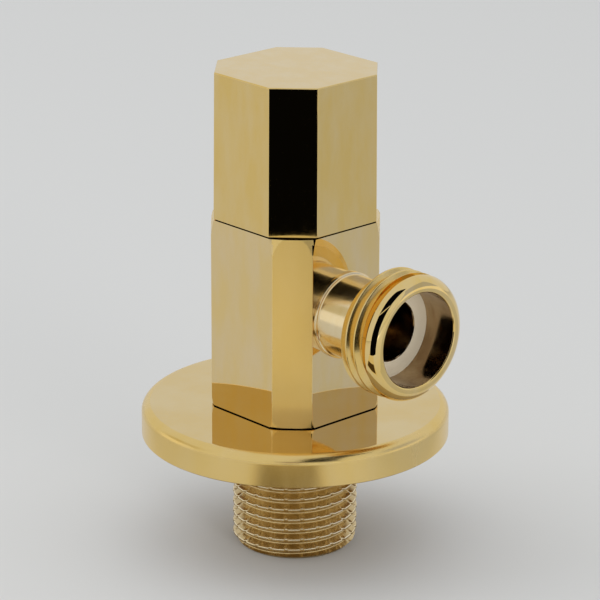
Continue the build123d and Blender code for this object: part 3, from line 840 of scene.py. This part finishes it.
for finish in (gold_turned, faced_seat_painted_light, painted_shade_bore, gold_thread, gold_neck_painted_reflection):
    nipple.data.materials.append(finish)
for face in nipple.data.polygons:
    radius = sqrt(face.center.y ** 2 + (face.center.z - OUTLET_Z * MM) ** 2) / MM
    along = face.center.x / MM
    within = SOCKET_FLOOR - 0.2 < along < OUTLET_END - SOCKET_EASE
    # Inside the socket, the faced ring at its floor gets the partly painted light and the bore the painted
    # shade.
    if radius < HOLE_R or within and radius < SOCKET_R + 0.02:
        on_floor = abs(face.normal.x) > 0.9 and along < SOCKET_FLOOR + 0.2
        face.material_index = LIT_SEAT if on_floor else SHADED_BORE
    elif along < COLLAR_END:
        face.material_index = THREAD if radius > COLLAR_FOOT_R else PAINTED_NECK
print("outlet:", len(nipple.data.materials), "finishes")

# %% Finishes on the body, the flange and the handle
BROAD, NARROW, GROOVE_SHADE, CREST_HIGHLIGHT = range(4)
TOP, RIM = range(2)
SPIGOT_TOP = 18.6
CREST_HIGHLIGHT_BAND = 0.45

for finish in (gold_body, gold_narrow, gold_painted_shade_groove, gold_painted_highlight_crest):
    valve_body.data.materials.append(finish)
for face in valve_body.data.polygons:
    wide = abs(face.center.x) / MM
    deep = abs(face.center.y) / MM
    if abs(wide - deep) < BODY_LEG - 0.02 and wide + deep > 2 * BODY_HALF - BODY_LEG - 0.6:
        face.material_index = NARROW
    # In the inlet thread, crest faces get the painted highlight and the rest the painted shade.
    elif face.center.z < SPIGOT_TOP * MM:
        crest_highlighted = face.center.xy.length > (THREAD_R - CREST_HIGHLIGHT_BAND) * MM
        face.material_index = CREST_HIGHLIGHT if crest_highlighted else GROOVE_SHADE
for finish in (gold_flange, gold_rim):
    flange.data.materials.append(finish)
for face in flange.data.polygons:
    if face.center.xy.length > (ESC_R - RIM_ROUND + 0.1) * MM:
        face.material_index = RIM
handle.data.materials.append(gold_handle)
print("body:", len(valve_body.data.materials), "finishes, flange:", len(flange.data.materials))

# %% Finishes on the CAD nodes
CAD_FINISHES = {
    "cartridge_housing": bare_brass, "spindle": bare_brass,
    "spindle_clip": stainless, "inlet_strainer": stainless, "handle_grub_screw": stainless,
    "seal_support_ring": acetal, "spindle_friction_washer": acetal, "handle_insert": acetal,
    "fixed_disc": alumina, "moving_disc": alumina,
    "valve_body": gold_body, "outlet_nipple": gold_turned, "escutcheon": gold_flange,
    "handle_shell": gold_handle,
}
for name, node in frame["nodes"].items():
    for slot in node.material_slots:
        slot.material = CAD_FINISHES.get(name, rubber)
print("CAD nodes in rubber:", sorted(set(frame["nodes"]) - set(CAD_FINISHES)))

# %% [markdown]
# ## Riding the frame
#
# Each gold piece moves with one body of the CAD frame, and is shown instead of its CAD node.

# %% Pieces on their bodies
for piece, body, cad_node in (
    (valve_body, "valve", "valve_body"),
    (nipple, "valve", "outlet_nipple"),
    (flange, "escutcheon", "escutcheon"),
    (handle, "handle", "handle_shell"),
):
    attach(piece, body)
    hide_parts(cad_node)
print("dressed", len(frame["nodes"]), "CAD nodes and 4 gold pieces")

# %% [markdown]
# ## Floor and cards
#
# Polished metal shows its surroundings, so the surroundings are most of the lighting. A plain
# pale floor fills the upright faces, the sky gives the soft light, and flat cards give the metal
# its accents, as black flags and white boards do in a studio. Only the metal sees them: they are
# hidden from the camera, and they neither shade nor colour the floor.

# %% Stage helpers
FRONT = -90 - degrees(FRONT_ANGLE)


def plain(name, colour):
    """A matt stage material."""
    material = bpy.data.materials.new(name)
    material.use_nodes = True
    shader = material.node_tree.nodes["Principled BSDF"]
    shader.inputs["Base Color"].default_value = (*colour, 1)
    shader.inputs["Roughness"].default_value = 0.9
    shader.inputs["Specular IOR Level"].default_value = 0.0
    return material


def glowing(name, level):
    """A stage material with an even brightness of its own and no shading."""
    material = plain(name, (0, 0, 0))
    shader = material.node_tree.nodes["Principled BSDF"]
    shader.inputs["Emission Color"].default_value = (*level, 1)
    shader.inputs["Emission Strength"].default_value = 1.0
    return material


def only_for_metal(thing, material):
    """Give a stage piece its material, and let nothing but reflections show it."""
    thing.data.materials.append(material)
    thing.visible_camera = False
    thing.visible_diffuse = False
    thing.visible_shadow = False


def make_card(name, turn, near, far, width, low, high):
    """A flat card, standing or lying, placed by its direction and distance, in degrees and mm."""
    deselect()
    bpy.ops.mesh.primitive_plane_add(size=MM, location=(0, 0, 0))
    thing = bpy.context.active_object
    thing.name = name
    edit(thing)
    bpy.ops.mesh.select_all(action="SELECT")
    bpy.ops.transform.resize(value=(1, width, 1), center_override=(0, 0, 0))
    leave()
    for point in thing.data.vertices:
        start = point.co.x < 0
        point.co.x = (near if start else far) * MM
        point.co.z = (low if start else high) * MM
    thing.data.transform(Matrix.Rotation(radians(turn), 4, "Z"))
    return thing


def put_card(name, material, *place):
    only_for_metal(make_card(name, *place), material)


def put_panel(name, material, near, outline):
    """An upright panel near the valve's front, drawn by its (sideways, height) points in mm."""
    thing = draw(name, outline)
    edit(thing)
    bpy.ops.mesh.select_all(action="SELECT")
    bpy.ops.mesh.edge_face_add()
    leave()
    place = Matrix.Rotation(radians(FRONT), 4, "Z") @ Matrix.Translation((near * MM, 0, 0))
    thing.data.transform(place @ Matrix.Rotation(pi / 2, 4, "Z"))
    only_for_metal(thing, material)


def put_mat(name, material, radius, height):
    """A round mat under the valve."""
    deselect()
    bpy.ops.mesh.primitive_circle_add(vertices=96, radius=radius * MM, fill_type="NGON", location=(0, 0, 0))
    thing = bpy.context.active_object
    thing.name = name
    thing.data.transform(Matrix.Translation((0, 0, height * MM)))
    only_for_metal(thing, material)


print("the camera's side is at", round(FRONT, 1), "degrees")

# %% [markdown]
# The black flag fills the handle's front face. A slanted panel close by does the same for the
# outlet's nose, with a bright strip across it. The umber card is the dark reflection in front of
# the foot, and warm and grey papers fill the broad faces from below.

# %% Floor
floor = make_card("floor", 0, -6000, 6000, 12000, 0, 0)
floor.data.materials.append(plain("floor_paper", (0.70, 0.70, 0.69)))
print("floor", [round(side) for side in floor.dimensions], "m")

# %% Cards
side_glow = glowing("side_glow", (0.86, 0.84, 0.78))
put_card("warm_card", plain("warm_paper", (0.70, 0.62, 0.41)), FRONT, 58, 200, 60, 0.3, 0.3)
put_card("black_flag", plain("black_velvet", (0.002, 0.002, 0.002)), FRONT, 199, 800, 60, 0.6, 0.6)
put_card("umber_card", plain("umber_paper", (0.07, 0.045, 0.018)), FRONT, 60, 84, 48, 0.9, 0.9)
put_panel("nose_flag", plain("nose_velvet", (0.002, 0.002, 0.002)), 50, [
    (6, 33), (27, 33), (30, 50), (46, 73), (80, 103), (130, 150), (150, 170),
    (60, 170), (40, 140), (22, 103), (13, 73), (7.5, 50)])
put_panel("nose_strip", glowing("nose_glow", (0.8, 0.78, 0.72)), 49, [(13, 67), (40, 69), (40, 71), (13, 69)])
put_card("grey_card", glowing("grey_glow", (0.19, 0.14, 0.10)), FRONT, 780, 781, 170, 180, 430)
put_card("left_card", glowing("left_glow", (0.54, 0.49, 0.34)), FRONT - 90, 780, 781, 500, 90, 520)
put_card("right_card", glowing("right_glow", (0.45, 0.48, 0.60)), FRONT + 90, 780, 781, 500, 90, 520)
put_card("left_paper", plain("left_paper", (0.635, 0.63, 0.61)), FRONT - 90, 64, 344, 120, 0.3, 0.3)
put_card("right_paper", plain("right_paper", (0.55, 0.56, 0.58)), FRONT + 90, 64, 344, 120, 0.3, 0.3)
put_card("left_strip", side_glow, FRONT - 90, 345, 345.2, 200, 1, 130)
put_card("right_strip", side_glow, FRONT + 90, 345, 345.2, 200, 1, 80)
# Painted shade: a dark sheet under the valve, seen only in reflections, stands in for the shade beneath the
# flange.
put_mat("painted_shade_mat", plain("painted_shade_sheet", (0.42, 0.35, 0.24)), 46, 0.3)

# %% [markdown]
# ## Light
#
# An even sky lights everything softly. A large box from the left, one from above and a small one
# beside the outlet shape the satin faces and the shadow. They are hidden from reflections, because
# the mirror faces should show only the sky and the cards.

# %% Light
world = bpy.data.worlds.new("soft_sky")
bpy.context.scene.world = world
world.use_nodes = True
sky = world.node_tree.nodes["Background"]
sky.inputs["Color"].default_value = (0.97, 0.985, 1.0, 1)
sky.inputs["Strength"].default_value = 0.72


def soft_box(name, place, aim, size, power):
    """A square area light at one point, facing another, in millimetres."""
    data = bpy.data.lights.new(name, "AREA")
    data.size = size * MM
    data.energy = power
    thing = bpy.data.objects.new(name, data)
    bpy.context.scene.collection.objects.link(thing)
    direction = (Vector(aim) - Vector(place)) * MM
    turned = direction.to_track_quat("-Z", "Y").to_matrix().to_4x4()
    thing.matrix_world = Matrix.Translation(Vector(place) * MM) @ turned
    thing.visible_glossy = False


soft_box("key_left", (-600, -500, 800), (0, 0, 40), 900, 1.8)
soft_box("top_box", (0, 0, 1000), (0, 0, 0), 1100, 1.6)
soft_box("outlet_fill", (700, -150, 150), (22, 0, 43), 200, 1.3)
bpy.context.scene.view_settings.view_transform = "Standard"
